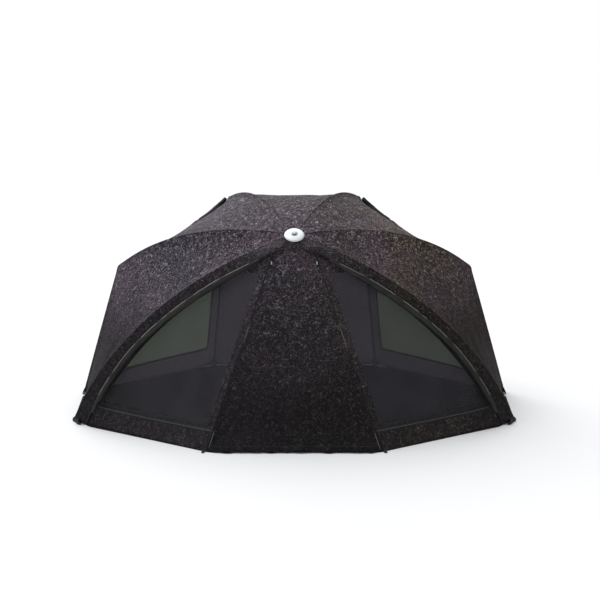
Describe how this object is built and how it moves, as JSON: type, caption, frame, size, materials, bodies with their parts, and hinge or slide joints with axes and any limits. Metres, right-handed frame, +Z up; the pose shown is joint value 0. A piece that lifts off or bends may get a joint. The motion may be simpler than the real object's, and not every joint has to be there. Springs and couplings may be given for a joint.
{
  "type": "fishing brolly shelter",
  "caption": "Camouflage fishing brolly on bent ribs round a tilted hub, with a zipped door, mesh-windowed wings, rolled covers and a groundsheet.",
  "frame": {"origin": "middle of the overall outline at ground level", "axes": "+Z up, -Y towards the front with the door, +X to the right as seen from the front"},
  "size_m": [2.7124, 1.8316, 1.28],
  "materials": {
    "camo_fabric": "matt coated polyester, small camouflage flecks",
    "camo_infill": "matt coated polyester, small camouflage flecks",
    "camo_band": "matt coated polyester, dark camouflage",
    "fine_mesh": "see-through insect mesh",
    "rolled_lining": "matt grey-green lining",
    "satin_silver": "satin silver",
    "groundsheet_fabric": "matt heavy polyester",
    "rib_metal": "grey anodised",
    "black_plastic": "moulded nylon"
  },
  "bodies": {
    "shelter": {"canopy_back": "camo_fabric", "canopy_front_left": "camo_fabric", "canopy_front_right": "camo_fabric", "canopy_rear_left": "camo_fabric", "canopy_rear_right": "camo_fabric", "door": "camo_infill", "front_rib_left": "rib_metal", "front_rib_right": "rib_metal", "front_shoe_left": "black_plastic", "front_shoe_right": "black_plastic", "front_strut_left": "rib_metal", "front_strut_right": "rib_metal", "front_valance": "camo_band", "groundsheet": "groundsheet_fabric", "hub_block": "black_plastic", "hub_cap": "satin_silver", "hub_runner": "black_plastic", "hub_screw": "black_plastic", "rear_leg_left": "rib_metal", "rear_leg_right": "rib_metal", "rear_mesh_left": "fine_mesh", "rear_mesh_right": "fine_mesh", "rear_rib_left": "rib_metal", "rear_rib_right": "rib_metal", "rear_shoe_left": "black_plastic", "rear_shoe_right": "black_plastic", "rear_strut_left": "rib_metal", "rear_strut_right": "rib_metal", "rolled_cover_front_left": "rolled_lining", "rolled_cover_front_right": "rolled_lining", "rolled_cover_rear_left": "rolled_lining", "rolled_cover_rear_right": "rolled_lining", "side_leg_left": "rib_metal", "side_leg_right": "rib_metal", "side_rib_left": "rib_metal", "side_rib_right": "rib_metal", "side_shoe_left": "black_plastic", "side_shoe_right": "black_plastic", "side_strut_left": "rib_metal", "side_strut_right": "rib_metal", "wing_left": "camo_infill", "wing_mesh_left": "fine_mesh", "wing_mesh_right": "fine_mesh", "wing_right": "camo_infill", "zip_slider_left": "black_plastic", "zip_slider_right": "black_plastic"},
    "pull_left": {"zip_pull_left": "black_plastic"},
    "pull_right": {"zip_pull_right": "black_plastic"}
  },
  "joints": [
    {"name": "zip_pull_left_swing", "type": "hinge", "parent": "shelter", "child": "pull_left", "pos_m": [-0.12337, -0.50882, 0.95555], "axis": [-1, 0, 0], "range_deg": [0, 120]},
    {"name": "zip_pull_right_swing", "type": "hinge", "parent": "shelter", "child": "pull_right", "pos_m": [0.12337, -0.50882, 0.95555], "axis": [-1, 0, 0], "range_deg": [0, 120]}
  ]
}
